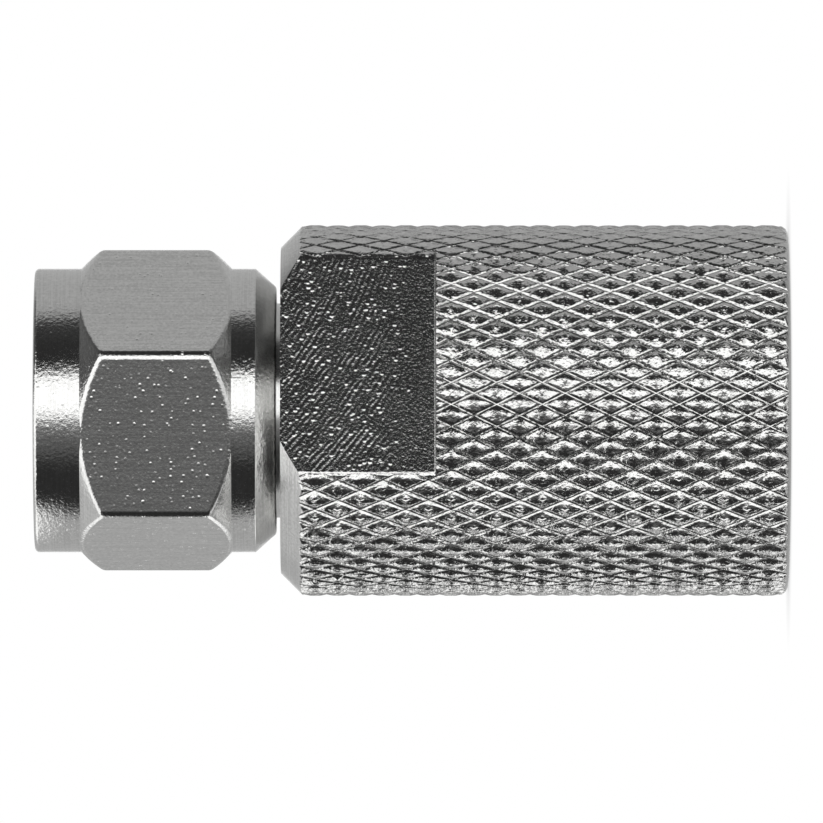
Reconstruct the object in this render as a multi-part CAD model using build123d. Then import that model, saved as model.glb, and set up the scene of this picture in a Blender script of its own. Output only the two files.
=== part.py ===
from build123d import *
from math import ceil, cos, pi, sin
import os

# A screw-on F plug for thick coaxial cable, standing on its cable end.
# Z is the axis of the plug, the coupling nut is at the top, and the origin is the middle of the cable end.
# The front of the plug is -Y. All lengths are in millimetres and all turns in degrees.

# Ferrule: the thin tube inside, which passes the cable's core, holds the nut and touches the socket's rim
FERRULE_BORE_R = 3.65
FERRULE_WALL = 0.5
FERRULE_SHOULDER_WIDTH = 0.55
FERRULE_SHOULDER = 0.8
FERRULE_LIP = 0.45
FERRULE_LIP_EDGE = 0.2
FERRULE_MOUTH_EDGE = 0.3

# Barrel: the turned brass body, with a bore that screws on to the cable's jacket
BODY_LENGTH = 19.6
BODY_WALL = 2.17
BODY_FRONT_WALL = 7.0
BODY_NOSE_CONE = 0.87
BODY_HEEL = 0.35
CABLE_BORE_STEP = 0.3
CABLE_LEAD_IN = 0.6
FLATS_LENGTH = 6.0
FLATS_TURN = 18.5

# Diamond knurl, rolled as two crossing sets of helical grooves
KNURL_STARTS = 52
KNURL_PITCH = 1.745
KNURL_DEPTH = 0.2
KNURL_CREST = 0.87
KNURL_SHIFT = -0.06
KNURL_TURN = 1.93

# Coupling nut
NUT_FRONT_COLLAR = 1.79
NUT_HEX_LENGTH = 5.83
NUT_REAR_COLLAR = 1.72
NUT_HEX_TURN = -10.0
NUT_WALL = 0.62
NUT_COLLAR_STEP = 0.02
NUT_FRONT_EDGE = 0.15
NUT_TAPER_LENGTH = 0.8
NUT_TAPER_DROP = 0.72
NUT_FLOOR = 1.2
NUT_RELIEF_LENGTH = 1.3
NUT_RELIEF_DEPTH = 0.51
NUT_THREAD_LEAD_IN = 0.5

# Play of the nut round the ferrule and along it
NUT_BORE_CLEARANCE = 0.08
NUT_LIP_CLEARANCE = 0.26
NUT_LIP_GAP = 0.05
NUT_BODY_GAP = 0.16

# Extra height or radius that lets a cutting or blanking form run past what it trims
OVERRUN = 0.1

# Radii from the ferrule outwards: a barrel of 14.34 mm, and a thread of 8.7 mm minor in an 11 mm hexagon
ferrule_r = FERRULE_BORE_R + FERRULE_WALL
ferrule_shoulder_r = ferrule_r + FERRULE_SHOULDER_WIDTH
ferrule_lip_r = ferrule_r + FERRULE_LIP
cable_bore_r = ferrule_shoulder_r + CABLE_BORE_STEP
body_r = cable_bore_r + BODY_WALL
nut_bore_r = ferrule_r + NUT_BORE_CLEARANCE
nut_relief_r = ferrule_lip_r + NUT_LIP_CLEARANCE
nut_thread_r = nut_relief_r - NUT_RELIEF_DEPTH
nut_collar_r = nut_relief_r + NUT_WALL
spanner_r = nut_collar_r + NUT_COLLAR_STEP

# Heights from the cable end up: a barrel of 19.6 mm, a narrow gap, and a nut of 9.34 mm
ferrule_seat_z = BODY_LENGTH - BODY_FRONT_WALL
cable_bore_z = ferrule_seat_z - FERRULE_SHOULDER
nut_rear_z = BODY_LENGTH + NUT_BODY_GAP
nut_floor_z = nut_rear_z + NUT_FLOOR
nut_hex_rear_z = nut_rear_z + NUT_REAR_COLLAR
nut_hex_front_z = nut_hex_rear_z + NUT_HEX_LENGTH
nut_front_z = nut_hex_front_z + NUT_FRONT_COLLAR
ferrule_lip_z = nut_floor_z + NUT_LIP_GAP
ferrule_front_z = ferrule_lip_z + FERRULE_WALL


def turned(outline):
    """A solid turned about Z from a closed half outline of (radius, height) points."""
    half_section = Plane.XZ * make_face(Polyline(*outline, close=True))
    return revolve(half_section, Axis.Z)


def knurl_point(row, step, radius):
    """A point of the knurled skin, by half pitches along the body and half starts round it."""
    angle = step * pi / KNURL_STARTS
    height = (row - 1) * KNURL_PITCH / 2 + KNURL_SHIFT
    return Vector(radius * cos(angle), radius * sin(angle), height)


def knurl_diamond(row, step, rows):
    """One raised diamond between four groove crossings: a hipped roof with its crest along the body."""
    groove_r = body_r - KNURL_DEPTH
    left = knurl_point(row, step - 1, groove_r)
    right = knurl_point(row, step + 1, groove_r)
    bottom = knurl_point(row - 1, step, groove_r)
    top = knurl_point(row + 1, step, groove_r)
    half_crest = KNURL_CREST / KNURL_PITCH
    crest_low = knurl_point(max(row - half_crest, 0), step, body_r)
    crest_high = knurl_point(min(row + half_crest, rows), step, body_r)
    facets = [(left, crest_low, crest_high), (right, crest_high, crest_low)]
    if row > 0:
        facets += [(left, bottom, crest_low), (right, crest_low, bottom)]
    if row < rows:
        facets += [(left, crest_high, top), (right, top, crest_high)]
    return [Face(Wire.make_polygon(facet)) for facet in facets]


def knurl_end(row):
    """The flat end of the knurled bar, where crests and groove crossings take turns round the edge."""
    radii = [body_r - KNURL_DEPTH * (1 - (row + step) % 2) for step in range(2 * KNURL_STARTS)]
    return Face(Wire.make_polygon([knurl_point(row, step, radius) for step, radius in enumerate(radii)]))


def knurled_bar():
    """A bar, longer than the body at both ends, whose skin is all low diamonds between two sets of grooves."""
    rows = ceil(BODY_LENGTH / (KNURL_PITCH / 2)) + 2
    skin = [knurl_end(0), knurl_end(rows)]
    for row in range(rows + 1):
        for step in range((row + 1) % 2, 2 * KNURL_STARTS, 2):
            skin += knurl_diamond(row, step, rows)
    return Rot(0, 0, KNURL_TURN) * Solid(Shell(skin))


def body_blank():
    """The turned barrel before it is knurled, with its bores and its two wrench flats."""
    stock_r = body_r + OVERRUN
    blank = turned([
        (cable_bore_r + CABLE_LEAD_IN, 0),
        (body_r - BODY_HEEL, 0),
        (stock_r, BODY_HEEL + OVERRUN),
        (stock_r, BODY_LENGTH - BODY_NOSE_CONE - OVERRUN),
        (body_r - BODY_NOSE_CONE, BODY_LENGTH),
        (ferrule_r, BODY_LENGTH),
        (ferrule_r, ferrule_seat_z),
        (ferrule_shoulder_r, ferrule_seat_z),
        (ferrule_shoulder_r, cable_bore_z),
        (cable_bore_r, cable_bore_z),
        (cable_bore_r, CABLE_LEAD_IN),
    ])
    cutter = Box(2 * stock_r, stock_r, FLATS_LENGTH + OVERRUN, align=(Align.CENTER, Align.MIN, Align.MIN))
    for side in (0, 180):
        to_flat = Rot(0, 0, FLATS_TURN + side) * Pos(0, spanner_r, BODY_LENGTH - FLATS_LENGTH)
        blank -= to_flat * cutter
    return blank


def knurled_body():
    """The barrel that the hand turns: knurl all round, cut by the flats, the nose cone and the coned heel."""
    return body_blank() & knurled_bar()


def retaining_ferrule():
    """A thin tube pushed in from the cable side, whose rolled lip keeps the nut on the plug."""
    return turned([
        (FERRULE_BORE_R, cable_bore_z),
        (ferrule_shoulder_r, cable_bore_z),
        (ferrule_shoulder_r, ferrule_seat_z),
        (ferrule_r, ferrule_seat_z),
        (ferrule_r, ferrule_lip_z),
        (ferrule_lip_r, ferrule_lip_z),
        (ferrule_lip_r, ferrule_front_z - FERRULE_LIP_EDGE),
        (ferrule_lip_r - FERRULE_LIP_EDGE, ferrule_front_z),
        (FERRULE_BORE_R + FERRULE_MOUTH_EDGE, ferrule_front_z),
        (FERRULE_BORE_R, ferrule_front_z - FERRULE_MOUTH_EDGE),
    ])


def nut_hexagon():
    """The hexagon that a spanner holds, with both ends coned down to the round collars."""
    hexagon = Pos(0, 0, nut_hex_rear_z) * RegularPolygon(spanner_r, 6, major_radius=False)
    prism = Rot(0, 0, NUT_HEX_TURN) * extrude(hexagon, NUT_HEX_LENGTH)
    middle = NUT_HEX_LENGTH / 2
    cones = turned([
        (0, nut_hex_rear_z),
        (nut_collar_r, nut_hex_rear_z),
        (nut_collar_r + middle, nut_hex_rear_z + middle),
        (nut_collar_r, nut_hex_front_z),
        (0, nut_hex_front_z),
    ])
    return prism & cones


def coupling_nut():
    """The free-turning nut: hexagon between two collars, threaded bore, relief, and a floor that the lip holds."""
    relief_front_z = nut_floor_z + NUT_RELIEF_LENGTH
    collars = turned([
        (0, nut_rear_z),
        (nut_collar_r - NUT_TAPER_DROP, nut_rear_z),
        (nut_collar_r, nut_rear_z + NUT_TAPER_LENGTH),
        (nut_collar_r, nut_front_z - NUT_FRONT_EDGE),
        (nut_collar_r - NUT_FRONT_EDGE, nut_front_z),
        (0, nut_front_z),
    ])
    hollow = turned([
        (0, nut_rear_z - OVERRUN),
        (nut_bore_r, nut_rear_z - OVERRUN),
        (nut_bore_r, nut_floor_z),
        (nut_relief_r, nut_floor_z),
        (nut_relief_r, relief_front_z),
        (nut_thread_r, relief_front_z),
        (nut_thread_r, nut_front_z - NUT_THREAD_LEAD_IN),
        (nut_thread_r + NUT_THREAD_LEAD_IN + OVERRUN, nut_front_z + OVERRUN),
        (0, nut_front_z + OVERRUN),
    ])
    return collars + nut_hexagon() - hollow


os.makedirs("parts", exist_ok=True)
export_step(knurled_body(), "parts/knurled_body.step")
export_step(retaining_ferrule(), "parts/retaining_ferrule.step")
export_step(coupling_nut(), "parts/coupling_nut.step")
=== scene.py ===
# %% [markdown]
# # A screw-on plug for coaxial cable, in nickel-plated brass
# The real plug is three turned brass parts: a knurled barrel, a thin ferrule inside it, and a nut that spins on
# the ferrule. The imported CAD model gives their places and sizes. This lesson models each one again with the fine
# detail that light picks out, gives it a nickel finish, and puts it in a small studio.
# Z is the plug's axis, the nut is at the top, and the camera looks along +Y with +X upwards in its picture.

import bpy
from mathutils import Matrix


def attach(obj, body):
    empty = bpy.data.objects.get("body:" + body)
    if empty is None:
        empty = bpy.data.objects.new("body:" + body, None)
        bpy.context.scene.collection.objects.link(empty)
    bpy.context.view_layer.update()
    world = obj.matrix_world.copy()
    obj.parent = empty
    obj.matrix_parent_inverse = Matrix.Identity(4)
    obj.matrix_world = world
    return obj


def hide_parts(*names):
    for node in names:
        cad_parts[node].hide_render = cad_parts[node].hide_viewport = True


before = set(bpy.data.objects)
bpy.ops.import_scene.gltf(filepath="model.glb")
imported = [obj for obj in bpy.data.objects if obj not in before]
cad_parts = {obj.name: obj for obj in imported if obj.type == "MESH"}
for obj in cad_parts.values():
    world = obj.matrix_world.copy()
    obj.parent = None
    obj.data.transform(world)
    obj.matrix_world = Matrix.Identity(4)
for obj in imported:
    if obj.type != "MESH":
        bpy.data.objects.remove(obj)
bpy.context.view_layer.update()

# %% [markdown]
# ## The camera
# A product photo like this one is taken from well back with a long lens, square to the plug's axis, so that the
# two ends look alike. A camera could be turned by angles. Here its three axes are written straight into a matrix:
# right in the picture is -Z, up is +X, and the view goes along +Y.

# %% Camera
import bpy
from math import acos, ceil, cos, pi, radians, sin, sqrt, tan
from mathutils import Matrix, Vector

PICTURE_SIDE = 823
PIXELS_PER_METRE = 25860
CAMERA_DISTANCE = 0.725
SENSOR_WIDTH = 36  # millimetres
NEAREST, FARTHEST = 0.05, 20
AIM = Vector((-0.00004, 0, 0.01455))  # the middle of the picture

bpy.ops.object.camera_add(location=AIM + Vector((0, -CAMERA_DISTANCE, 0)))
camera = bpy.context.object
camera.name = "camera"
right, up, back = Vector((0, 0, -1)), Vector((1, 0, 0)), Vector((0, -1, 0))
camera.matrix_world = Matrix.Translation(camera.location) @ Matrix((right, up, back)).transposed().to_4x4()
camera.data.sensor_width = SENSOR_WIDTH
camera.data.lens = SENSOR_WIDTH * CAMERA_DISTANCE * PIXELS_PER_METRE / PICTURE_SIDE
camera.data.clip_start, camera.data.clip_end = NEAREST, FARTHEST
bpy.context.scene.camera = camera
print("lens:", round(camera.data.lens), "mm")

# %% [markdown]
# ## A bench in millimetres
# Bevels, insets and merges are easier to judge in millimetres, so every piece is modelled at a thousand times its
# size and is brought down at the end. The scale is then applied, which leaves the place in the mesh itself.
# An operator works on all that is selected, so each step starts with nothing selected.

# %% Bench helpers
MILLIMETRE = 0.001
TOUCHING = 0.0001  # points closer than this are one point


def take(*pieces):
    """Selects these pieces and nothing else, the first one active."""
    bpy.ops.object.select_all(action="DESELECT")
    for piece in pieces:
        piece.select_set(True)
    bpy.context.view_layer.objects.active = pieces[0]


def edit(piece, mode="VERT"):
    """Opens a piece in edit mode with all of it selected."""
    take(piece)
    bpy.ops.object.mode_set(mode="EDIT")
    bpy.ops.mesh.select_mode(type=mode)
    bpy.ops.mesh.select_all(action="SELECT")


def shut():
    """Goes back to object mode."""
    bpy.ops.object.mode_set(mode="OBJECT")


def apply_modifier(piece, kind, **settings):
    """Adds a modifier with its settings and applies it at once."""
    take(piece)
    modifier = piece.modifiers.new(kind.lower(), kind)
    for key, value in settings.items():
        setattr(modifier, key, value)
    bpy.ops.object.modifier_apply(modifier=modifier.name)


def combine(piece, other, operation):
    """A boolean of two closed shapes. The other one is used up."""
    apply_modifier(piece, "BOOLEAN", operation=operation, object=other, solver="EXACT")
    bpy.data.objects.remove(other)


def report(piece):
    """Prints what was made."""
    size = [round(c, 2) for c in piece.dimensions]
    print(piece.name, "faces:", len(piece.data.polygons), "size:", size)


# %% [markdown]
# ## Turning on a lathe
# All three parts start on a lathe, so they start here as one line of points that is spun about Z. The line grows
# point by point with the extrude operator, as it would by hand. A lathe tool never leaves a knife edge, so a
# corner may be given a rounding, which puts a short arc in its place. A line that touches the axis leaves one
# stray edge there after the spin. It is deleted, because a boolean needs a shape with nothing loose in it.

# %% Lathe helpers
def rounded(outline, arc_steps=4):
    """Puts an arc at each corner of a closed outline of (radius, height, rounding)."""
    points = []
    for index, (r, z, rounding) in enumerate(outline):
        corner = Vector((r, z))
        if not rounding:
            points.append(tuple(corner))
            continue
        before = (Vector(outline[index - 1][:2]) - corner).normalized()
        after = (Vector(outline[(index + 1) % len(outline)][:2]) - corner).normalized()
        half = before.angle(after) / 2
        centre = corner + (before + after).normalized() * (rounding / sin(half))
        start = corner + before * (rounding / tan(half)) - centre
        sweep = start.angle_signed(corner + after * (rounding / tan(half)) - centre)
        for step in range(arc_steps + 1):
            turn = Matrix.Rotation(-sweep * step / arc_steps, 2)
            points.append(tuple(centre + turn @ start))
    return points


def drawn_line(name, points):
    """Starts a piece as one point, draws it out into a line of points, and leaves it open in edit mode."""
    bpy.ops.object.select_all(action="DESELECT")
    bpy.ops.mesh.primitive_plane_add(size=1)
    piece = bpy.context.object
    piece.name = name
    edit(piece)
    bpy.ops.mesh.merge(type="CENTER")
    bpy.ops.transform.translate(value=points[0])
    for start, end in zip(points, points[1:]):
        move = tuple(b - a for a, b in zip(start, end))
        bpy.ops.mesh.extrude_vertices_move(TRANSFORM_OT_translate={"value": move})
    return piece


def turned(name, outline, steps=192):
    """A closed solid, spun from a closed half outline of (radius, height) points."""
    piece = drawn_line(name, [(r, 0, z) for r, z in (*outline, outline[0])])
    bpy.ops.mesh.select_all(action="SELECT")
    bpy.ops.mesh.remove_doubles(threshold=TOUCHING)
    bpy.ops.mesh.select_all(action="SELECT")
    bpy.ops.mesh.spin(steps=steps, angle=2 * pi, use_auto_merge=True, center=(0, 0, 0), axis=(0, 0, 1))
    bpy.ops.mesh.select_all(action="SELECT")
    bpy.ops.mesh.remove_doubles(threshold=TOUCHING)
    bpy.ops.mesh.delete_loose()
    bpy.ops.mesh.select_all(action="SELECT")
    bpy.ops.mesh.normals_make_consistent(inside=False)
    shut()
    return piece


# %% [markdown]
# ## Screw threads
# The nut has the fine thread of every F socket, and the barrel a coarse one that bites into the cable's jacket.
# Both are cut with a tap: one tooth of the thread is drawn, the Screw modifier winds it up the axis, and the two
# ends are cut off square and filled. The tap is then taken out of the bored piece. A straight bar could be bent
# into a helix, but a wound tooth meets itself exactly from one turn to the next.

# %% Tap helper
THREAD_MERGE = 0.0005
SPARE_TURNS = 2  # wound past either end and cut off


def square_ends(low, high):
    """Cuts an open piece off at two heights, fills the ends, turns all faces outwards and shuts the piece."""
    for cut, outward in ((low, -1), (high, 1)):
        bpy.ops.mesh.select_all(action="SELECT")
        bpy.ops.mesh.bisect(plane_co=(0, 0, cut), plane_no=(0, 0, outward), use_fill=True, clear_outer=True)
    bpy.ops.mesh.select_all(action="SELECT")
    bpy.ops.mesh.normals_make_consistent(inside=False)
    shut()


def tap(tooth, pitch, low, high, steps=96):
    """A closed threaded rod between two heights, from one tooth given as (radius, height) points over a pitch."""
    rod = drawn_line("tap", [(r, 0, z + low - SPARE_TURNS * pitch) for r, z in tooth])
    shut()
    turns = ceil((high - low) / pitch) + 2 * SPARE_TURNS
    apply_modifier(rod, "SCREW", angle=2 * pi, screw_offset=pitch, iterations=turns, steps=steps,
                   render_steps=steps, use_merge_vertices=True, merge_threshold=THREAD_MERGE)
    edit(rod)
    bpy.ops.mesh.remove_doubles(threshold=THREAD_MERGE)
    square_ends(low, high)
    return rod


# %% [markdown]
# ## One diamond of the knurl
# A knurl is rolled: two crossing sets of ridges press grooves into the turning bar, and the metal between them
# swells up into small pillows with a slit along the top where the swelling from both sides doesn't quite meet.
# Two crossing screws could be cut out of the bar, but a pillow is rounder than that. So one diamond is modelled
# flat, by insets that climb to its crest and dip into the slit. Each inset also leans a little to one side, the
# way that the wheel pushed the metal. A second diamond is set beside the first to close the pattern.

# %% Knurl diamond
GROOVE_RADIUS = 7.03
STARTS = 52
PITCH = 1.745
WIDTH = 2 * pi * GROOVE_RADIUS / STARTS
# each inset's thickness, height and lean
CLIMB = ((0.015, 0, 0), (0.04, 0.035, 0), (0.07, 0.03, 0.02), (0.08, 0.025, 0.03), (0.07, 0.035, 0.03),
         (0.03, 0.01, 0.01), (0.03, -0.03, 0))

bpy.ops.object.select_all(action="DESELECT")
bpy.ops.mesh.primitive_plane_add(size=1, rotation=(pi / 2, 0, 0))
knurl = bpy.context.object
knurl.name = "knurl"
bpy.ops.object.transform_apply(location=False, rotation=True, scale=False)
edit(knurl, "FACE")
bpy.ops.transform.rotate(value=pi / 4, orient_axis="Y", center_override=(0, 0, 0))
bpy.ops.transform.resize(value=(WIDTH / sqrt(2), 1, PITCH / sqrt(2)))
for thickness, height, lean in CLIMB:
    bpy.ops.mesh.inset(thickness=thickness, depth=height)
    bpy.ops.transform.translate(value=(lean, 0, 0))
bpy.ops.mesh.select_all(action="SELECT")
bpy.ops.mesh.duplicate_move(TRANSFORM_OT_translate={"value": (WIDTH / 2, 0, PITCH / 2)})
shut()
report(knurl)

# %% [markdown]
# ## The knurled skin
# The pair of diamonds is repeated 52 times round and 14 times along by two Array modifiers, which makes a flat
# mat. A bend modifier rolls the mat into a tube, and merging closes its seam. The tube is then turned and moved
# until its grooves cross where they do on the real barrel, and both ends are cut off flat and filled, which
# makes it a solid bar.

# %% Knurled tube
BARREL_LENGTH = 19.6
KNURL_TURN = radians(1.93)
KNURL_SHIFT = -0.06
KNURL_LOW, KNURL_HIGH = -0.3, BARREL_LENGTH + 0.4
SEAM = 0.001  # points closer than this are joined where the mat closes

rows = ceil(BARREL_LENGTH / PITCH) + 2
for count, offset in ((STARTS, (WIDTH, 0, 0)), (rows, (0, 0, PITCH))):
    apply_modifier(knurl, "ARRAY", count=count, use_relative_offset=False, use_constant_offset=True,
                   constant_offset_displace=offset)
edit(knurl)
bpy.ops.mesh.remove_doubles(threshold=SEAM)
shut()
apply_modifier(knurl, "SIMPLE_DEFORM", deform_method="BEND", deform_axis="Z",
               angle=2 * pi * knurl.dimensions.x / (STARTS * WIDTH))
edit(knurl)
bpy.ops.mesh.remove_doubles(threshold=SEAM)
bpy.ops.transform.translate(value=(0, -GROOVE_RADIUS, KNURL_SHIFT - PITCH))
bpy.ops.transform.rotate(value=-KNURL_TURN, orient_axis="Z", center_override=(0, 0, 0))
square_ends(KNURL_LOW, KNURL_HIGH)
report(knurl)

# %% [markdown]
# ## The barrel's blank
# The blank is the barrel without its knurl: the nose cone, the heel, the bore for the cable's jacket and the two
# steps in which the ferrule sits, all turned from one outline. The coarse thread is tapped into the bore at this
# stage, while the blank is still a plain shape with few faces.

# %% Barrel blank
BARREL_RADIUS = 7.165
NOSE_CONE = 0.87
FERRULE_RADIUS, SHOULDER_RADIUS = 4.15, 4.7
FERRULE_REAR, FERRULE_SEAT = 11.8, 12.6
JACKET_RADIUS, LEAD_IN = 5.0, 0.6
JACKET_PITCH = 1.3
JACKET_THREAD = (0.4, 10.9)  # the heights between which it runs

jacket_tooth = [(4.9, 0), (4.9, 0.35), (5.35, 0.75), (5.35, 0.85), (4.9, JACKET_PITCH)]
nose = BARREL_LENGTH - NOSE_CONE
barrel_blank = turned("barrel_blank", rounded([
    (JACKET_RADIUS + LEAD_IN, 0, 0.05), (BARREL_RADIUS - 0.02, 0, 0.38), (BARREL_RADIUS, 1.0, 0),
    (BARREL_RADIUS, nose, 0.12), (BARREL_RADIUS - 0.2, nose + 0.2, 0),
    (BARREL_RADIUS - NOSE_CONE, BARREL_LENGTH, 0.08), (FERRULE_RADIUS, BARREL_LENGTH, 0.05),
    (FERRULE_RADIUS, FERRULE_SEAT, 0), (SHOULDER_RADIUS, FERRULE_SEAT, 0), (SHOULDER_RADIUS, FERRULE_REAR, 0),
    (JACKET_RADIUS, FERRULE_REAR, 0), (JACKET_RADIUS, LEAD_IN, 0),
]))
combine(barrel_blank, tap(jacket_tooth, JACKET_PITCH, *JACKET_THREAD), "DIFFERENCE")
report(barrel_blank)

# %% [markdown]
# ## The knurl on the blank
# The knurled bar has to be cut to length, bored, and coned at the nose. A boolean intersection with the blank does
# all of that at once, and leaves the diamonds running out into the cone as they do on the real part.

# %% Barrel
barrel = knurl
barrel.name = "barrel"
combine(barrel, barrel_blank, "INTERSECT")
report(barrel)

# %% [markdown]
# ## The wrench flats
# Two flats are milled across the front of the barrel for a spanner. Their long edges are a little rounded, and it
# is that rounding that catches the lamp as a bright line. A plain box would leave it sharp, so the cutter is a
# box whose lower corners curl outwards and down, like the edge that it leaves. Its lower rim has a small bevel,
# which leaves a fillet in the corner of the shoulder.

# %% Flats
FLAT_DISTANCE = 5.5
FLATS_LENGTH = 6.0
FLATS_TURN = radians(18.5)
EDGE_ROUNDING = 0.65
EDGE_RUN_IN = 0.06  # how far the rounding starts inside the place where it would just touch the skin
EDGE_STEPS = 5
SHOULDER_FILLET = 0.08
CUTTER_TOP = 9
CUTTER_LENGTH = FLATS_LENGTH + 0.5

shoulder = BARREL_LENGTH - FLATS_LENGTH
half_chord = sqrt(BARREL_RADIUS ** 2 - FLAT_DISTANCE ** 2)
edge_turn = acos(FLAT_DISTANCE / BARREL_RADIUS)


def flat_cutter(half_turn):
    """A cutter for one flat, its underside curling down past both long edges."""
    arc_start = half_chord - EDGE_ROUNDING * tan(edge_turn / 2) - EDGE_RUN_IN
    curl = [(arc_start + EDGE_ROUNDING * sin(a), FLAT_DISTANCE - EDGE_ROUNDING * (1 - cos(a)))
            for a in (edge_turn * step / EDGE_STEPS for step in range(EDGE_STEPS + 1))]
    curl.append((curl[-1][0] + cos(edge_turn), curl[-1][1] - sin(edge_turn)))
    reach = curl[-1][0]
    profile = curl + [(reach, CUTTER_TOP), (-reach, CUTTER_TOP)] + [(-u, h) for u, h in reversed(curl)]
    cutter = drawn_line("cutter", [(u, h, shoulder) for u, h in profile])
    bpy.ops.mesh.select_all(action="SELECT")
    bpy.ops.mesh.edge_face_add()
    bpy.ops.mesh.extrude_region_move(TRANSFORM_OT_translate={"value": (0, 0, CUTTER_LENGTH)})
    bpy.ops.mesh.select_all(action="SELECT")
    bpy.ops.mesh.normals_make_consistent(inside=False)
    bpy.ops.mesh.select_mode(type="EDGE")
    bpy.ops.mesh.select_all(action="DESELECT")
    shut()
    for edge in cutter.data.edges:
        ends = [cutter.data.vertices[index].co for index in edge.vertices]
        edge.select = all(end.z < shoulder + 0.01 and end.y < CUTTER_TOP - 1 for end in ends)
    bpy.ops.object.mode_set(mode="EDIT")
    bpy.ops.mesh.bevel(offset=SHOULDER_FILLET, segments=4)
    bpy.ops.mesh.select_all(action="SELECT")
    bpy.ops.transform.rotate(value=-(FLATS_TURN + half_turn), orient_axis="Z", center_override=(0, 0, 0))
    shut()
    return cutter


for half_turn in (0, pi):
    combine(barrel, flat_cutter(half_turn), "DIFFERENCE")
report(barrel)

# %% [markdown]
# ## The nut's hexagon
# The nut is a hexagon with a round collar at each end. The hexagon's corners are turned down by a cone from both
# sides, which gives its faces their curved ends. It starts as a six-sided cylinder with bevelled corners and is
# cut by a turned double cone. A second bevel rounds the curved edges and draws the bright line round each face.
# It needs room, so the hexagon runs on a little inside the collars, which cover its ends in the next step. The
# cylinder is a little longer than the cone, because a boolean is unsure of two faces in the same plane.

# %% Nut hexagon
SPANNER_RADIUS = 5.5
COLLAR_RADIUS = 5.48
HEX_REAR, HEX_FRONT = 21.48, 27.31
HEX_TURN = radians(20)
CORNER_BEVEL = 0.24
EDGE_BEVEL = 0.17
HIDDEN = 0.7  # how far the double cone runs on inside the collars
CAP_SPACE = 0.25  # how far the cylinder runs on past the double cone

bpy.ops.object.select_all(action="DESELECT")
bpy.ops.mesh.primitive_cylinder_add(vertices=6, radius=SPANNER_RADIUS / cos(pi / 6),
                                    depth=HEX_FRONT - HEX_REAR + 2 * (HIDDEN + CAP_SPACE),
                                    location=(0, 0, (HEX_FRONT + HEX_REAR) / 2), rotation=(0, 0, HEX_TURN))
nut = bpy.context.object
nut.name = "nut"
bpy.ops.object.transform_apply(location=True, rotation=True, scale=True)
edit(nut, "EDGE")
bpy.ops.mesh.select_all(action="DESELECT")
shut()
for edge in nut.data.edges:
    ends = [nut.data.vertices[index].co.z for index in edge.vertices]
    edge.select = abs(ends[0] - ends[1]) > 1
bpy.ops.object.mode_set(mode="EDIT")
bpy.ops.mesh.bevel(offset=CORNER_BEVEL, segments=5)
shut()
half = (HEX_FRONT - HEX_REAR) / 2
cones = turned("cones", [
    (0, HEX_REAR - HIDDEN), (COLLAR_RADIUS - HIDDEN, HEX_REAR - HIDDEN), (COLLAR_RADIUS + half, HEX_REAR + half),
    (COLLAR_RADIUS - HIDDEN, HEX_FRONT + HIDDEN), (0, HEX_FRONT + HIDDEN),
])
combine(nut, cones, "INTERSECT")
apply_modifier(nut, "BEVEL", width=EDGE_BEVEL, segments=4, limit_method="ANGLE", angle_limit=radians(24))
report(nut)

# %% [markdown]
# ## The nut's collars
# Both collars are one turned bar that goes right through the hexagon, joined to it by a boolean union. The rear
# end tapers towards the barrel. A ring of points on either side of the hexagon keeps the smooth shading of the
# collars from being drawn into its edges.

# %% Nut collars
NUT_REAR, NUT_FRONT = 19.76, 29.1
TAPER_DROP, TAPER_LENGTH = 0.72, 0.8
RING_GAP = 0.12

collars = turned("collars", rounded([
    (0, NUT_REAR, 0), (COLLAR_RADIUS - TAPER_DROP, NUT_REAR, 0.25), (COLLAR_RADIUS, NUT_REAR + TAPER_LENGTH, 0.06),
    (COLLAR_RADIUS, HEX_REAR - RING_GAP, 0), (COLLAR_RADIUS, HEX_FRONT + RING_GAP, 0),
    (COLLAR_RADIUS, NUT_FRONT, 0.17), (0, NUT_FRONT, 0),
]))
combine(nut, collars, "UNION")
report(nut)

# %% [markdown]
# ## The nut's bore and thread
# A turned core takes out the inside: the hole that runs round the ferrule, the wider relief for the ferrule's lip,
# and the bore for the thread with its lead-in at the mouth. The tap with the fine thread reaches past that bore at
# both ends, so that the thread runs out there.

# %% Nut bore and thread
NUT_BORE, NUT_FLOOR = 4.23, 20.96
RELIEF_RADIUS, RELIEF_FRONT = 4.86, 22.26
THREAD_RADIUS, THREAD_REAR, THREAD_FRONT = 4.35, 22.76, 28.6
CORE_REAR, CORE_FRONT, MOUTH_RADIUS = 19.7, 29.2, 4.95  # the core runs out past both ends of the nut
SOCKET_PITCH = 0.794
SOCKET_THREAD = (21.9, 29.3)

hollow = turned("hollow", [
    (0, CORE_REAR), (NUT_BORE, CORE_REAR), (NUT_BORE, NUT_FLOOR), (RELIEF_RADIUS, NUT_FLOOR),
    (RELIEF_RADIUS, RELIEF_FRONT), (THREAD_RADIUS, THREAD_REAR), (THREAD_RADIUS, THREAD_FRONT),
    (MOUTH_RADIUS, CORE_FRONT), (0, CORE_FRONT),
])
combine(nut, hollow, "DIFFERENCE")
socket_tooth = [(4.25, 0), (4.25, 0.05), (4.76, 0.36), (4.76, 0.44), (4.25, 0.744), (4.25, SOCKET_PITCH)]
combine(nut, tap(socket_tooth, SOCKET_PITCH, *SOCKET_THREAD), "DIFFERENCE")
report(nut)

# %% [markdown]
# ## The ferrule
# The ferrule is a thin tube with a lip rolled over at the front, which keeps the nut on. Only its neck shows in
# the gap behind the nut, and its mouth inside the nut. It is turned from one outline with well rounded corners,
# and its shoulder and seat are the barrel's own, so that the two fit.

# %% Ferrule
FERRULE_BORE = 3.65
LIP_RADIUS, LIP_REAR, LIP_FRONT = 4.6, 21.01, 21.51

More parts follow.
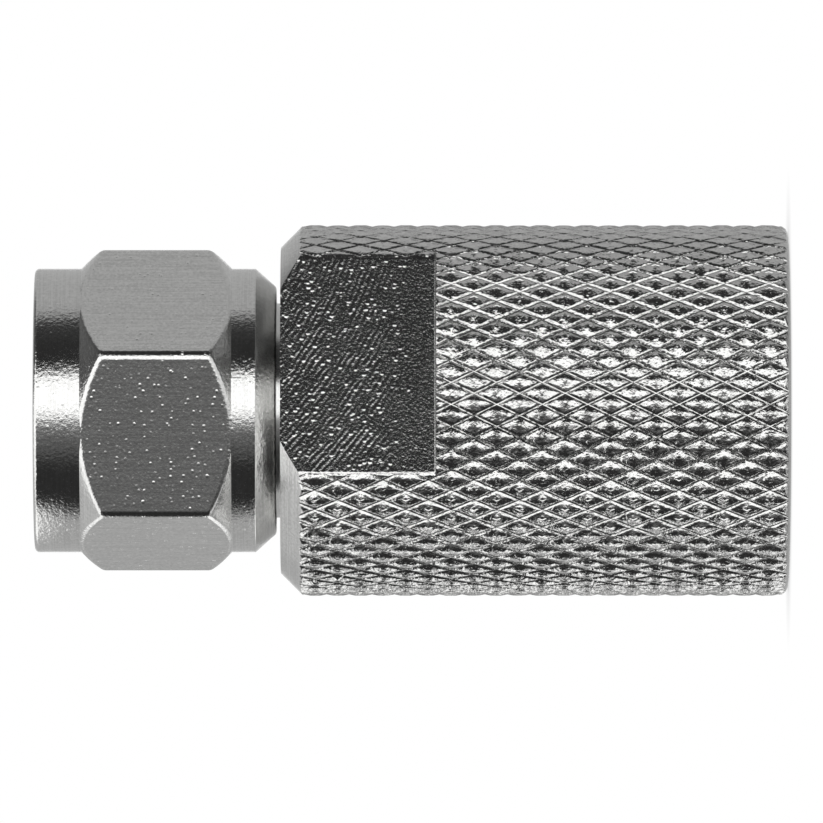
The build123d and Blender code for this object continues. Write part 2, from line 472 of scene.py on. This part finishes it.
ferrule = turned("ferrule", rounded([
    (FERRULE_BORE, FERRULE_REAR, 0.05), (SHOULDER_RADIUS, FERRULE_REAR, 0.05), (SHOULDER_RADIUS, FERRULE_SEAT, 0),
    (FERRULE_RADIUS, FERRULE_SEAT, 0), (FERRULE_RADIUS, LIP_REAR, 0.05), (LIP_RADIUS, LIP_REAR, 0.15),
    (LIP_RADIUS, LIP_FRONT, 0.3), (FERRULE_BORE, LIP_FRONT, 0.18),
]), steps=160)
report(ferrule)

# %% [markdown]
# ## Node helpers
# Materials and the studio are built from nodes. A node is added, given its options, and each of its inputs gets
# either a number or a link. Small helpers do that, so that the cells below read like a list of what is done.

# %% Node helpers
def node(tree, kind, inputs=(), **options):
    """Adds a node with its options, and gives its inputs values or links."""
    made = tree.nodes.new("ShaderNode" + kind)
    for key, value in options.items():
        setattr(made, key, value)
    for label, value in dict(inputs).items():
        if isinstance(value, bpy.types.NodeSocket):
            tree.links.new(value, made.inputs[label])
        else:
            made.inputs[label].default_value = value
    return made


def calc(tree, operation, first, second=0.0):
    """One step of arithmetic on two sockets or numbers."""
    return node(tree, "Math", {0: first, 1: second}, operation=operation).outputs[0]


def added(tree, values):
    """The sum of a list of sockets."""
    total = values[0]
    for value in values[1:]:
        total = calc(tree, "ADD", total, value)
    return total


def spread(tree, value, low, high):
    """A value brought to 0..1 between two limits, with soft ends."""
    limits = {"Value": value, "From Min": low, "From Max": high}
    return node(tree, "MapRange", limits, interpolation_type="SMOOTHSTEP").outputs[0]


# %% [markdown]
# ## What marks a plated part
# Nickel plate is a grey metal, a shade warmer than chrome, and one colour all over. What makes each face look
# different is the surface under the plate: the grain of the plating bath, single raised specks, the rings that
# the lathe tool leaves, and the straight lines of drawn hexagon bar. Each of these is one node group, made once
# and used by several finishes with its own size. All of them count in millimetres of the object's own space, so
# a pattern keeps its size and stays where it is when the piece moves.

# %% Groups for the surface marks
def mark_group(name, default_size, *outputs):
    """A node group with one input, the size of its pattern in millimetres, and the object's point in that size."""
    tree = bpy.data.node_groups.new(name, "ShaderNodeTree")
    tree.interface.new_socket("Size", in_out="INPUT", socket_type="NodeSocketFloat").default_value = default_size
    for label in outputs:
        tree.interface.new_socket(label, in_out="OUTPUT", socket_type="NodeSocketFloat")
    size = tree.nodes.new("NodeGroupInput").outputs["Size"]
    place = node(tree, "TexCoord").outputs["Object"]
    per_metre = calc(tree, "DIVIDE", 1000, size)
    point = node(tree, "VectorMath", {0: place, "Scale": per_metre}, operation="SCALE").outputs["Vector"]
    return tree, point, tree.nodes.new("NodeGroupOutput").inputs


grain, point, results = mark_group("plating_grain", 0.1, "Height", "Tone")
fine = node(grain, "TexNoise", {"Vector": point, "Scale": 1, "Detail": 2.5, "Roughness": 0.6})
broad = node(grain, "TexNoise", {"Vector": point, "Scale": 0.12, "Detail": 3, "Roughness": 0.6})
grain.links.new(fine.outputs["Fac"], results["Height"])
grain.links.new(broad.outputs["Fac"], results["Tone"])

specks, point, results = mark_group("plating_specks", 0.35, "Height")
cells = node(specks, "TexVoronoi", {"Vector": point, "Scale": 1, "Randomness": 1})
chance = node(specks, "SeparateColor", {"Color": cells.outputs["Color"]}).outputs["Red"]
bead = calc(specks, "MULTIPLY", spread(specks, cells.outputs["Distance"], 0.34, 0.06), chance)
specks.links.new(bead, results["Height"])

rings, point, results = mark_group("lathe_rings", 0.06, "Height")
across = node(rings, "SeparateXYZ", {"Vector": point})
radius = node(rings, "VectorMath", {0: point, 1: (1, 1, 0)}, operation="MULTIPLY").outputs["Vector"]
radius = node(rings, "VectorMath", {0: radius}, operation="LENGTH").outputs["Value"]
drift = calc(rings, "MULTIPLY", across.outputs["X"], 0.02)
section = node(rings, "CombineXYZ", {"X": radius, "Y": across.outputs["Z"], "Z": drift}).outputs[0]
scored = node(rings, "TexNoise", {"Vector": section, "Scale": 1, "Detail": 2, "Roughness": 0.6})
rings.links.new(scored.outputs["Fac"], results["Height"])

drawn, point, results = mark_group("drawn_lines", 0.09, "Height")
stretched = node(drawn, "VectorMath", {0: point, 1: (1, 1, 0.02)}, operation="MULTIPLY").outputs["Vector"]
lines = node(drawn, "TexNoise", {"Vector": stretched, "Scale": 1, "Detail": 3, "Roughness": 0.65})
drawn.links.new(lines.outputs["Fac"], results["Height"])
print("groups:", [group.name for group in bpy.data.node_groups])

# %% [markdown]
# ## Nickel finishes
# One recipe makes every finish. It adds up the heights of its marks, in millimetres, and turns the sum into a bump.
# The same marks make the colour lighter where they stand high and darker where they lie low, by the recipe's
# contrast; the darker low points are partly dirt and partly painted shade. The broad clouds of the plating move
# the roughness. What differs is the recipe's list: the knurl is grainy from the rolling, the collars show rings,
# and the hexagon shows the lines of the bar.

# %% Nickel recipe
TINT = (1, 1, 0.985)
TONE_LIMITS = (0.36, 0.64)
CLOUD_LIMITS = (0.3, 0.7)


def nickel(name, shade, contrast, roughness, marks):
    """A nickel finish with a list of marks (group, size in mm, height in mm), with the grain among them."""
    material = bpy.data.materials.new(name)
    material.use_nodes = True
    tree = material.node_tree
    shader = tree.nodes["Principled BSDF"]
    shader.inputs["Metallic"].default_value = 1
    levels, heights = [], []
    for group, size, height in marks:
        made = node(tree, "Group", node_tree=group)
        made.inputs["Size"].default_value = size
        levels.append(made.outputs["Height"])
        heights.append(calc(tree, "MULTIPLY", made.outputs["Height"], height))
        if group == grain:
            clouds = made.outputs["Tone"]
    bump = node(tree, "Bump", {"Strength": 1, "Distance": MILLIMETRE, "Height": added(tree, heights)})
    bump.name = "marks"
    tree.links.new(bump.outputs["Normal"], shader.inputs["Normal"])
    all_over = sum(group != specks for group, size, height in marks)  # specks are nearly always at zero
    # the colour follows the marks' heights: the low points are darker, partly from dirt and partly as painted shade
    tone = spread(tree, calc(tree, "DIVIDE", added(tree, levels), all_over), *TONE_LIMITS)
    pit_dirt_and_shade, bright = ([shade * part * c for c in TINT] + [1] for part in (1 - contrast, 1 + contrast))
    colour = node(tree, "Mix", {"Factor": tone}, data_type="RGBA")
    colour.inputs["A"].default_value, colour.inputs["B"].default_value = pit_dirt_and_shade, bright
    tree.links.new(colour.outputs["Result"], shader.inputs["Base Color"])
    rough = node(tree, "MapRange", {"Value": spread(tree, clouds, *CLOUD_LIMITS), "To Min": roughness * 1.2,
                                    "To Max": roughness * 0.85})
    tree.links.new(rough.outputs[0], shader.inputs["Roughness"])
    return material


knurled_finish = nickel("knurl_plate", 0.68, 0.06, 0.13, [
    (grain, 0.16, 0.034), (grain, 0.8, 0.11), (specks, 0.3, 0.015)])
turned_finish = nickel("turned_plate", 0.68, 0.1, 0.2, [
    (grain, 0.1, 0.007), (rings, 0.05, 0.001)])
collar_finish = nickel("collar_plate", 0.68, 0.08, 0.14, [
    (grain, 0.14, 0.015), (specks, 0.3, 0.006), (rings, 0.05, 0.001)])
hexagon_finish = nickel("hexagon_plate", 0.67, 0.14, 0.14, [
    (grain, 0.11, 0.009), (specks, 0.25, 0.012), (drawn, 0.06, 0.0007)])
ferrule_finish = nickel("ferrule_plate", 0.7, 0.04, 0.18, [
    (grain, 0.08, 0.002), (rings, 0.05, 0.001)])
print("finishes:", len(bpy.data.materials))

# %% [markdown]
# ## The milled flats
# An end mill leaves arcs on the flats, a fifth of a millimetre apart. They are rings round a point well outside
# the flat, and a slow noise makes them waver. Both flats use the same point, turned half round the axis, so the
# point is mirrored by the side that the surface is on. Specks of the plating lie between the arcs. Arcs and
# specks both fade out towards the shoulder, where the cutter dwells. They are added to the bump of the recipe.

# %% Milled finish
ARC_SPACING = 0.21
ARC_HEIGHT = 0.0024
ARC_FADE = (14.7, 16.2)  # heights on the barrel between which the arcs come in
SPECK_SIZE, SPECK_HEIGHT = 0.28, 0.018
SPECK_FADE = (13.8, 15.8)
CENTRE_ACROSS, CENTRE_UP = 10, 34
WAVER = 7  # in radians

milled_finish = nickel("milled_plate", 0.66, 0.08, 0.1, [(grain, 0.11, 0.009)])
milled = milled_finish.node_tree
facing = (sin(FLATS_TURN), -cos(FLATS_TURN), 0)
along = (cos(FLATS_TURN), sin(FLATS_TURN), 0)
place = node(milled, "TexCoord").outputs["Object"]
spot = node(milled, "VectorMath", {0: place, "Scale": 1000}, operation="SCALE").outputs["Vector"]
side = node(milled, "VectorMath", {0: spot, 1: facing}, operation="DOT_PRODUCT").outputs["Value"]
sideways = node(milled, "VectorMath", {0: spot, 1: along}, operation="DOT_PRODUCT").outputs["Value"]
sideways = calc(milled, "MULTIPLY", sideways, calc(milled, "SIGN", side))
level = node(milled, "SeparateXYZ", {"Vector": spot}).outputs["Z"]
from_centre = node(milled, "CombineXYZ", {"X": calc(milled, "SUBTRACT", sideways, CENTRE_ACROSS),
                                          "Y": calc(milled, "SUBTRACT", level, CENTRE_UP)}).outputs[0]
distance = node(milled, "VectorMath", {0: from_centre}, operation="LENGTH").outputs["Value"]
waver = node(milled, "TexNoise", {"Vector": spot, "Scale": 1.3, "Detail": 2}).outputs["Fac"]
phase = calc(milled, "MULTIPLY", distance, 2 * pi / ARC_SPACING)
arcs = calc(milled, "SINE", calc(milled, "ADD", phase, calc(milled, "MULTIPLY", waver, WAVER)))
strength = calc(milled, "MULTIPLY", spread(milled, level, *ARC_FADE), spread(milled, waver, 0.35, 0.6))
arcs = calc(milled, "MULTIPLY", calc(milled, "MULTIPLY", arcs, strength), ARC_HEIGHT)
beads = node(milled, "Group", node_tree=specks)
beads.inputs["Size"].default_value = SPECK_SIZE
bead_height = calc(milled, "MULTIPLY", spread(milled, level, *SPECK_FADE), SPECK_HEIGHT)
beads = calc(milled, "MULTIPLY", beads.outputs["Height"], bead_height)
relief = milled.nodes["marks"].inputs["Height"]
milled.links.new(added(milled, [arcs, beads, relief.links[0].from_socket]), relief)
print("milled finish nodes:", len(milled.nodes))

# %% [markdown]
# ## Which face gets which finish
# A piece may hold several finishes, one per material slot. The faces are told apart by where they are and which
# way they look: on the barrel the flats, the skin of the knurl, and all that was turned; on the nut the six sides
# of the hexagon and all that was turned.

# %% Assign the finishes
NEAR = 0.05
AT_SHOULDER = 0.01


def finish_faces(piece, finishes, choose):
    """Gives a piece its finishes, and each face the one that choose(centre, normal) picks by number."""
    for finish in finishes:
        piece.data.materials.append(finish)
    for face in piece.data.polygons:
        face.material_index = choose(face.center, face.normal)
    counts = [sum(face.material_index == slot for face in piece.data.polygons) for slot in range(len(finishes))]
    print(piece.name, "faces by finish:", counts)


def barrel_finish(centre, normal):
    """The finish of one face of the barrel: 0 on the knurl, 2 on a flat, 1 for the rest."""
    outward = Vector((centre.x, centre.y)).normalized()
    on_flat = abs(Vector(facing).dot(centre)) > FLAT_DISTANCE - NEAR and centre.z > shoulder - AT_SHOULDER
    if on_flat and abs(Vector(facing).dot(normal)) > 0.99:
        return 2
    on_skin = Vector((centre.x, centre.y)).length > GROOVE_RADIUS - 2 * NEAR and abs(normal.z) < 0.6
    return 0 if on_skin and outward.dot(normal.to_2d()) > 0 else 1


def nut_finish(centre, normal):
    """The finish of one face of the nut: 1 on a side of the hexagon, 0 for the rest."""
    on_hexagon = Vector((centre.x, centre.y)).length > COLLAR_RADIUS and abs(normal.z) < 0.1
    return 1 if on_hexagon and HEX_REAR + NEAR < centre.z < HEX_FRONT - NEAR else 0


finish_faces(barrel, [knurled_finish, turned_finish, milled_finish], barrel_finish)
finish_faces(nut, [collar_finish, hexagon_finish], nut_finish)
ferrule.data.materials.append(ferrule_finish)

# %% [markdown]
# ## Place and shading
# Each piece is brought down from the bench to its real size, and the scale is applied so that the object stays at
# the origin. Faces are shaded smooth except at edges sharper than the given angle, and a weighted normal keeps
# the large flats flat. The nut has the smaller angle, so that the ends of its hexagon stay crisp. Each piece then
# rides on the body that it moves with, and stands for the CAD solid that it replaces.

# %% Finish the pieces
for piece, solid, body, slot, sharpest in (
        (barrel, "knurled_body", "plug_body", "knurled_nickel", 40),
        (ferrule, "retaining_ferrule", "plug_body", "ferrule_nickel", 40),
        (nut, "coupling_nut", "nut", "nut_nickel", 24)):
    take(piece)
    piece.scale = (MILLIMETRE,) * 3
    bpy.ops.object.transform_apply(location=True, rotation=True, scale=True)
    bpy.ops.object.shade_smooth_by_angle(angle=radians(sharpest))
    apply_modifier(piece, "WEIGHTED_NORMAL", keep_sharp=True)
    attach(piece, body)
    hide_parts(solid)
    print(piece.name, "triangles:", sum(len(face.vertices) - 2 for face in piece.data.polygons))

# %% [markdown]
# ## The studio
# Metal shows nothing but what stands round it, so the studio is half of the finish. The photo was taken in a
# white room with dark screens near the lens and one lamp a little above it. The room is drawn in the world shader
# by the turn of each direction about the plug's axis: 0 is towards the lens, 90 is up in the picture and -90 down.
# Tapers and cones look towards one end of the plug, so the room has three walls, one for the middle and one for
# either end, and they are mixed by the rise of the direction along the axis. Two white cards, low down and a
# little to either side, light the facets of the lower knurl.

# %% World
# (turn in degrees, brightness)
MIDDLE = ((-180, 0.5), (-99, 0.46), (-90, 0.03), (-45, 0.03), (-34, 0.1), (-20, 0.15), (-10, 0.28), (-2, 1.55),
          (28, 1.55), (32, 0.03), (55, 0.03), (78, 0.055), (88, 0.46), (180, 0.5))
TOWARDS_NUT = ((-180, 0.6), (-112, 0.6), (-92, 1.3), (-30, 1.4), (38, 1.5), (50, 0.1), (75, 0.06), (130, 0.15),
               (180, 0.6))
TOWARDS_CABLE = ((-180, 0.5), (-125, 0.32), (-98, 0.3), (-90, 0.8), (-70, 0.8), (-58, 0.12), (-30, 0.1), (-8, 1.0),
                 (25, 1.0), (50, 0.3), (60, 0.05), (75, 0.06), (100, 0.26), (125, 0.32), (180, 0.5))
LOW_CARDS = ((-180, 0), (-142, 0), (-130, 1), (-92, 1), (-82, 0), (180, 0))
# rise in degrees over which each one comes in, and over which the cards go out again
NUT_BAND, CABLE_BAND, CARD_BAND, CARD_END = (26, 38), (28, 42), (5, 11), (34, 26)
CARD_LEVEL = 1.4

world = bpy.data.worlds.new("studio")
bpy.context.scene.world = world
world.use_nodes = True
room = world.node_tree
room.nodes.clear()


def wall(turn, levels):
    """The brightness of the room by turn, from a list of (degrees, level)."""
    ramp = node(room, "ValToRGB", {0: turn})
    stops = ramp.color_ramp.elements
    stops.remove(stops[-1])
    for index, (angle, level) in enumerate(levels):
        stop = stops[0] if index == 0 else stops.new((angle + 180) / 360)
        stop.position = (angle + 180) / 360
        stop.color = (level, level, level, 1)
    return ramp.outputs[0]


def blend(amount, first, second):
    """A mix of two brightnesses."""
    return node(room, "MixRGB", {0: amount, 1: first, 2: second}).outputs[0]


direction = node(room, "TexCoord").outputs["Generated"]
axes = node(room, "SeparateXYZ", {"Vector": direction}).outputs
turn = calc(room, "ARCTAN2", axes["X"], calc(room, "MULTIPLY", axes["Y"], -1))
turn = calc(room, "ADD", calc(room, "DIVIDE", turn, 2 * pi), 0.5)
rise = calc(room, "DEGREES", calc(room, "ARCSINE", axes["Z"]))
fall = calc(room, "MULTIPLY", rise, -1)
light = wall(turn, MIDDLE)
light = blend(spread(room, rise, *NUT_BAND), light, wall(turn, TOWARDS_NUT))
light = blend(spread(room, fall, *CABLE_BAND), light, wall(turn, TOWARDS_CABLE))
steep = calc(room, "ABSOLUTE", rise)
cards = calc(room, "MULTIPLY", spread(room, steep, *CARD_BAND), spread(room, steep, *CARD_END))
cards = calc(room, "MULTIPLY", cards, wall(turn, LOW_CARDS))
light = blend(cards, light, (CARD_LEVEL, CARD_LEVEL, CARD_LEVEL, 1))
studio_light = node(room, "Background", {"Color": light})
backdrop = node(room, "Background", {"Color": (1, 1, 1, 1)})

# %% [markdown]
# ## The white background
# The camera sees a plain white backdrop, at a strength of 1. Metal sees it too, in the small part of the room
# behind the plug, which gives the barrel's edges their thin pale rim. Light Path tells the two kinds of ray apart.

# %% Backdrop
BACKDROP_EDGE = (0.975, 0.99)  # how nearly a mirrored ray has to go along the view
rays = node(room, "LightPath").outputs
mirrored = calc(room, "ADD", rays["Is Glossy Ray"], rays["Is Transmission Ray"])
mirrored = calc(room, "MULTIPLY", mirrored, spread(room, axes["Y"], *BACKDROP_EDGE))
seen = calc(room, "ADD", rays["Is Camera Ray"], mirrored)
shown = node(room, "MixShader", {0: seen, 1: studio_light.outputs[0], 2: backdrop.outputs[0]})
node(room, "OutputWorld", {"Surface": shown.outputs[0]})
bpy.context.scene.view_settings.view_transform = "Standard"
print("studio nodes:", len(room.nodes))

# %% [markdown]
# ## The floor
# The plug stands on its cable end on a plain white table. White on white would show no table at all but for the
# shadow where the two meet, so that shadow is painted: the camera sees the floor glow white, dimmed by how much
# of the room each point sees. The metal doesn't mirror the table, because nothing of a table shows in the metal
# of the photo.

# %% Floor
FLOOR_RADIUS = 0.5
FLOOR_DROP = 0.00002
SHADOW_REACH = 0.0025
SHADOW_LEVEL = 0.7

bpy.ops.object.select_all(action="DESELECT")
bpy.ops.mesh.primitive_circle_add(vertices=96, radius=FLOOR_RADIUS, fill_type="NGON", location=(0, 0, -FLOOR_DROP))
floor = bpy.context.object
floor.name = "floor"
bpy.ops.object.transform_apply(location=True, rotation=True, scale=True)
table = bpy.data.materials.new("white_table")
table.use_nodes = True
top = table.node_tree
top.nodes.clear()
# painted shadow: ambient occlusion dims the floor's glowing white near the plug
open_sky = node(top, "AmbientOcclusion", {"Distance": SHADOW_REACH}, samples=16).outputs["AO"]
shade = node(top, "MapRange", {"Value": open_sky, "To Min": SHADOW_LEVEL, "To Max": 1.0}).outputs[0]
grey = node(top, "CombineColor", {0: shade, 1: shade, 2: shade}).outputs[0]
glow_with_painted_shadow = node(top, "Emission", {"Color": grey})
paint = node(top, "BsdfDiffuse", {"Color": (0.8, 0.8, 0.8, 1)})
top_rays = node(top, "LightPath").outputs
looked_at = added(top, [top_rays["Is Glossy Ray"], top_rays["Is Transmission Ray"], top_rays["Is Camera Ray"]])
surface = node(top, "MixShader", {0: looked_at, 1: paint.outputs[0], 2: glow_with_painted_shadow.outputs[0]})
node(top, "OutputMaterial", {"Surface": surface.outputs[0]})
floor.data.materials.append(table)
floor.visible_glossy = False
print("floor radius:", round(floor.dimensions.x / 2, 3), "m")
